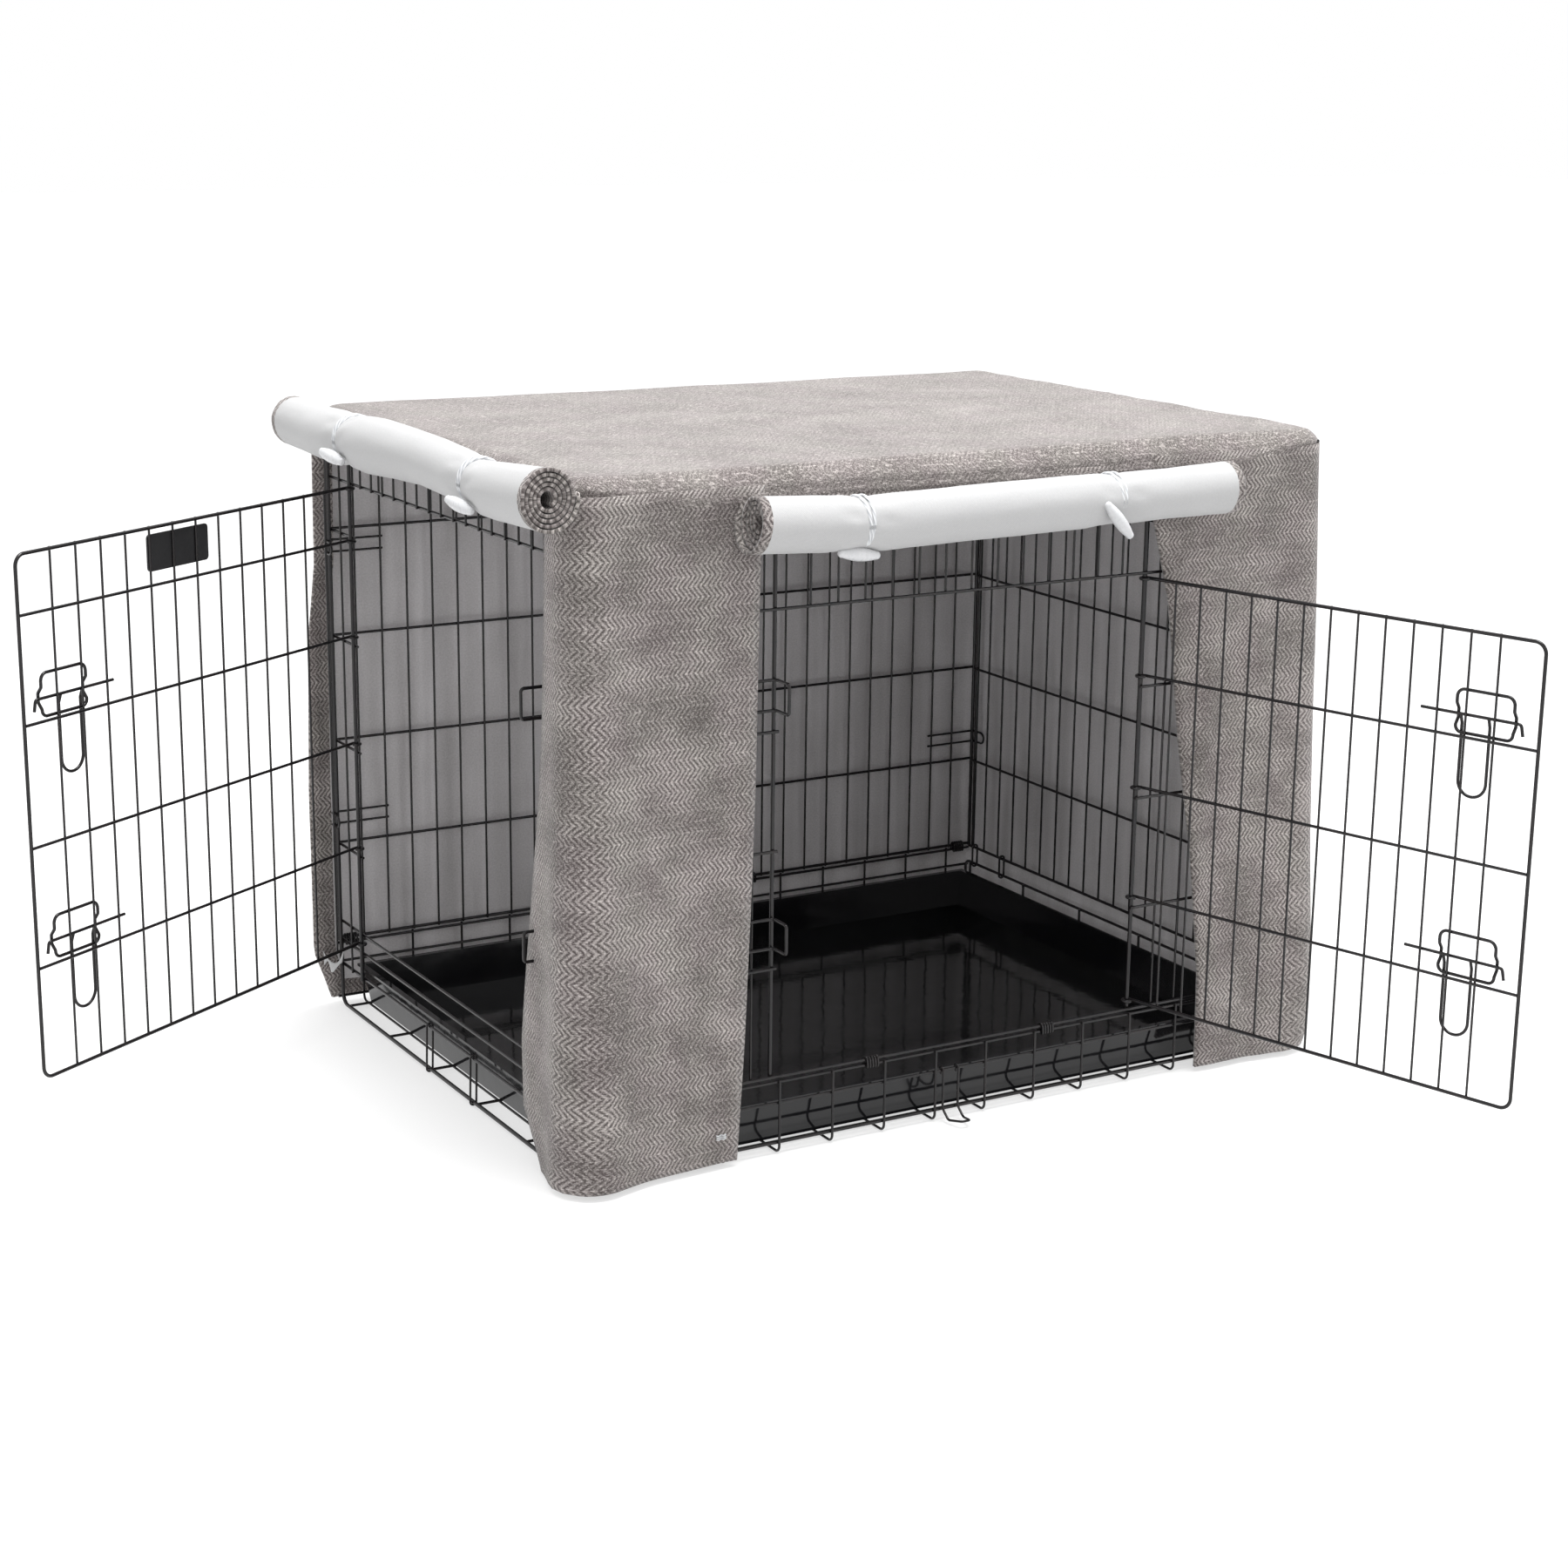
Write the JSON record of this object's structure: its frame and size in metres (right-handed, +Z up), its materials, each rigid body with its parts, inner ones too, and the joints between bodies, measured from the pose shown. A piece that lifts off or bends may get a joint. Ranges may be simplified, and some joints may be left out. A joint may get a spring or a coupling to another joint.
{
  "type": "wire dog crate",
  "caption": "Folding wire dog crate with a front door and an end door, bolt latches, a plastic tray, and a fitted fabric cover whose door flaps are rolled up.",
  "frame": {"origin": "on the floor under the centre of the crate's base", "axes": "+X along the crate's length, away from the end door; -Y towards the front door; +Z up"},
  "size_m": [0.9174, 0.7559, 0.4956],
  "materials": {
    "wire": "gloss",
    "tray": "gloss",
    "badge": "satin",
    "cover": "woven",
    "lining": "smooth",
    "trim": "matte",
    "toggle": "gloss"
  },
  "bodies": {
    "crate": {"base_rails": "wire", "base_cross_wires": "wire", "base_floor_wires": "wire", "base_end_rail": "wire", "base_upstand_rail": "wire", "base_hinge_clips": "wire", "front_panel": "wire", "front_corner_hooks": "wire", "front_keepers": "wire", "back_panel": "wire", "back_corner_hooks": "wire", "left_end_panel": "wire", "left_end_straps": "wire", "end_keepers": "wire", "right_end_links": "wire", "top_panel": "wire", "top_hinge_clips": "wire", "tray": "tray", "cover_top": "cover", "cover_back": "cover", "cover_right_wall": "cover", "cover_corner_strip": "cover", "cover_front_strip": "cover", "cover_valances": "cover", "end_roll": "cover", "front_roll": "lining", "end_roll_loops": "trim", "front_roll_loops": "trim", "end_roll_toggles": "toggle", "front_roll_toggles": "toggle", "cover_tie_strap": "trim"},
    "front_door": {"front_door": "wire", "front_lower_latch_ring": "wire", "front_upper_latch_ring": "wire"},
    "end_door": {"end_door": "wire", "badge_plate": "badge", "end_lower_latch_ring": "wire", "end_upper_latch_ring": "wire"},
    "front_lower_bolt": {"front_lower_latch_bar": "wire"},
    "front_lower_handle": {"front_lower_latch_handle": "wire"},
    "front_upper_bolt": {"front_upper_latch_bar": "wire"},
    "front_upper_handle": {"front_upper_latch_handle": "wire"},
    "end_lower_bolt": {"end_lower_latch_bar": "wire"},
    "end_lower_handle": {"end_lower_latch_handle": "wire"},
    "end_upper_bolt": {"end_upper_latch_bar": "wire"},
    "end_upper_handle": {"end_upper_latch_handle": "wire"},
    "right_end_panel": {"right_end_panel": "wire"},
    "fold_lock_hook": {"fold_lock_hook": "wire"}
  },
  "joints": [
    {"name": "front_door_hinge", "type": "hinge", "parent": "crate", "child": "front_door", "pos_m": [0.1515, -0.21905, 0.2235], "axis": [0, 0, 1], "range_deg": [-105.15, 28]},
    {"name": "end_door_hinge", "type": "hinge", "parent": "crate", "child": "end_door", "pos_m": [-0.30345, 0.1715, 0.24725], "axis": [0, 0, -1], "range_deg": [-58.25, 86]},
    {"name": "front_lower_bolt_slide", "type": "slide", "parent": "front_door", "child": "front_lower_bolt", "axis": [0.2689, -0.9632, 0], "range_m": [0, 0.015]},
    {"name": "front_lower_handle_lift", "type": "hinge", "parent": "front_lower_bolt", "child": "front_lower_handle", "pos_m": [0.23147, -0.47757, 0.1585], "axis": [0.2689, -0.9632, 0], "range_deg": [0, 90]},
    {"name": "front_upper_bolt_slide", "type": "slide", "parent": "front_door", "child": "front_upper_bolt", "axis": [0.2689, -0.9632, 0], "range_m": [0, 0.015]},
    {"name": "front_upper_handle_lift", "type": "hinge", "parent": "front_upper_bolt", "child": "front_upper_handle", "pos_m": [0.23147, -0.47757, 0.3265], "axis": [0.2689, -0.9632, 0], "range_deg": [0, 90]},
    {"name": "end_lower_bolt_slide", "type": "slide", "parent": "end_door", "child": "end_lower_bolt", "axis": [-0.8545, -0.5195, 0], "range_m": [0, 0.015]},
    {"name": "end_lower_handle_lift", "type": "hinge", "parent": "end_lower_bolt", "child": "end_lower_handle", "pos_m": [-0.56539, 0.02101, 0.1585], "axis": [0.8545, 0.5195, 0], "range_deg": [0, 90]},
    {"name": "end_upper_bolt_slide", "type": "slide", "parent": "end_door", "child": "end_upper_bolt", "axis": [-0.8545, -0.5195, 0], "range_m": [0, 0.015]},
    {"name": "end_upper_handle_lift", "type": "hinge", "parent": "end_upper_bolt", "child": "end_upper_handle", "pos_m": [-0.56539, 0.02101, 0.3265], "axis": [0.8545, 0.5195, 0], "range_deg": [0, 90]},
    {"name": "right_end_panel_fold", "type": "hinge", "parent": "crate", "child": "right_end_panel", "pos_m": [0.3008, 0, 0.057], "axis": [0, 1, 0], "range_deg": [-88, 0]},
    {"name": "fold_lock_hook_swing", "type": "hinge", "parent": "crate", "child": "fold_lock_hook", "pos_m": [-0.0087, -0.22155, 0.0375], "axis": [-1, 0, 0], "range_deg": [0, 120]}
  ]
}
